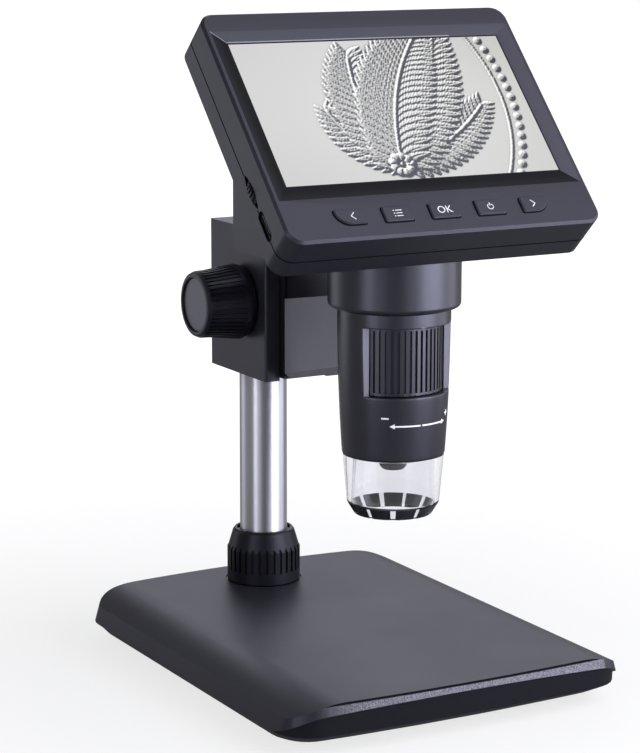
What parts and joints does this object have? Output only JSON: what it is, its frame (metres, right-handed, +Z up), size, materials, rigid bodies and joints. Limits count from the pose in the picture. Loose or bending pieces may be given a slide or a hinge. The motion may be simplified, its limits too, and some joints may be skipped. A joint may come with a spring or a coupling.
{
  "type": "desktop digital microscope",
  "caption": "Desktop digital microscope: tilted screen head over a short barrel with a focus wheel and clear cap, on a rack-and-pinion bracket, round pole and weighted base.",
  "frame": {"origin": "centre of the base's outline, on the surface that its feet stand on", "axes": "+Z up; the screen faces -Y and up; +X is the viewer's right when looking at the screen; the pole stands towards +Y"},
  "size_m": [0.119, 0.1536, 0.211],
  "materials": {
    "charcoal_plastic": "fine matte texture",
    "black_plastic": "satin black",
    "steel_parts": "plain steel",
    "brass_parts": "turned",
    "foot_rubber": "soft black rubber",
    "pole_aluminium": "satin",
    "circuit_board": "green solder mask",
    "white_plastic": "white",
    "led_lens": "pale yellow lens",
    "lens_glass": "coated lens",
    "clear_plastic": "clear moulded plastic, polished",
    "screen_glass": "lit screen under a glossy panel",
    "battery_foil": "foil pouch"
  },
  "bodies": {
    "base": {"base_cover": "charcoal_plastic", "base_tray": "black_plastic", "base_ballast": "steel_parts", "base_feet": "foot_rubber", "base_screws": "steel_parts", "pole_socket": "black_plastic", "socket_screws": "steel_parts", "pole_collet": "black_plastic"},
    "nut": {"pole_nut": "black_plastic"},
    "pole": {"pole_tube": "pole_aluminium", "pole_cap": "black_plastic"},
    "bracket": {"bracket_block": "charcoal_plastic", "shaft_bushes": "brass_parts", "clamp_insert": "brass_parts"},
    "clamp": {"clamp_stud": "steel_parts", "clamp_knob": "black_plastic"},
    "focus_shaft": {"pinion_shaft": "steel_parts", "knob_left": "black_plastic", "knob_right": "black_plastic", "knob_discs": "charcoal_plastic"},
    "head": {"slide_bar": "black_plastic", "slide_rack": "brass_parts", "rack_screws": "steel_parts", "arm_body": "charcoal_plastic", "arm_screws": "steel_parts", "neck_collar": "charcoal_plastic", "neck_screws": "steel_parts", "barrel_shell": "charcoal_plastic", "barrel_ring": "black_plastic", "sensor_board": "circuit_board", "guide_pins": "steel_parts", "led_board": "white_plastic", "leds": "led_lens", "front_cover": "charcoal_plastic", "rear_cover": "charcoal_plastic", "head_screws": "steel_parts", "lcd_screen": "screen_glass", "lcd_frame": "steel_parts", "main_board": "circuit_board", "board_screws": "steel_parts", "battery": "battery_foil", "key_board": "circuit_board", "key_switches": "steel_parts", "usb_socket": "steel_parts", "card_socket": "steel_parts"},
    "wheel": {"focus_wheel": "black_plastic"},
    "lens": {"lens_carrier": "black_plastic", "lens_tube": "black_plastic", "front_lens": "lens_glass"},
    "cap": {"clear_cap": "clear_plastic"},
    "dimmer": {"dimmer_wheel": "black_plastic"},
    "key_previous": {"key_previous": "black_plastic"},
    "key_menu": {"key_menu": "black_plastic"},
    "key_ok": {"key_ok": "black_plastic"},
    "key_power": {"key_power": "black_plastic"},
    "key_next": {"key_next": "black_plastic"}
  },
  "joints": [
    {"name": "pole_swivel", "type": "hinge", "parent": "base", "child": "pole", "pos_m": [0, 0.0559, 0.09], "axis": [0, 0, 1], "continuous": true},
    {"name": "nut_turn", "type": "hinge", "parent": "base", "child": "nut", "pos_m": [0, 0.0559, 0.025], "axis": [0, 0, 1], "range_deg": [-180, 180]},
    {"name": "bracket_slide", "type": "slide", "parent": "pole", "child": "bracket", "axis": [0, 0, 1], "range_m": [-0.024, 0.02]},
    {"name": "clamp_turn", "type": "hinge", "parent": "bracket", "child": "clamp", "pos_m": [0, 0.07, 0.11485], "axis": [0, 1, 0], "range_deg": [-180, 180]},
    {"name": "head_lift", "type": "slide", "parent": "bracket", "child": "head", "axis": [0, 0, 1], "range_m": [-0.015, 0.015]},
    {"name": "knob_turn", "type": "hinge", "parent": "bracket", "child": "focus_shaft", "pos_m": [0, 0.04356, 0.1149], "axis": [1, 0, 0], "range_deg": [-240, 240]},
    {"name": "focus_turn", "type": "hinge", "parent": "head", "child": "wheel", "pos_m": [0, -0.0303, 0.1078], "axis": [0, 0, 1], "range_deg": [-160, 160]},
    {"name": "lens_slide", "type": "slide", "parent": "head", "child": "lens", "axis": [0, 0, 1], "range_m": [-0.0018, 0.0018]},
    {"name": "cap_pull", "type": "slide", "parent": "head", "child": "cap", "axis": [0, 0, -1], "range_m": [0, 0.012]},
    {"name": "dimmer_turn", "type": "hinge", "parent": "head", "child": "dimmer", "pos_m": [-0.04757, -0.03942, 0.16183], "axis": [0, -0.7266, 0.6871], "range_deg": [-130, 130]},
    {"name": "key_previous_press", "type": "slide", "parent": "head", "child": "key_previous", "axis": [0, 0.7266, -0.6871], "range_m": [0, 0.0005], "stiffness_N_per_m": 900, "springref_m": -0.0002},
    {"name": "key_menu_press", "type": "slide", "parent": "head", "child": "key_menu", "axis": [0, 0.7266, -0.6871], "range_m": [0, 0.0005], "stiffness_N_per_m": 900, "springref_m": -0.0002},
    {"name": "key_ok_press", "type": "slide", "parent": "head", "child": "key_ok", "axis": [0, 0.7266, -0.6871], "range_m": [0, 0.0005], "stiffness_N_per_m": 900, "springref_m": -0.0002},
    {"name": "key_power_press", "type": "slide", "parent": "head", "child": "key_power", "axis": [0, 0.7266, -0.6871], "range_m": [0, 0.0005], "stiffness_N_per_m": 900, "springref_m": -0.0002},
    {"name": "key_next_press", "type": "slide", "parent": "head", "child": "key_next", "axis": [0, 0.7266, -0.6871], "range_m": [0, 0.0005], "stiffness_N_per_m": 900, "springref_m": -0.0002}
  ],
  "couplings": [
    {"joint": "knob_turn", "follows": "head_lift", "rad_per_m": -277.78},
    {"joint": "lens_slide", "follows": "focus_turn", "m_per_rad": 0.0006366}
  ]
}
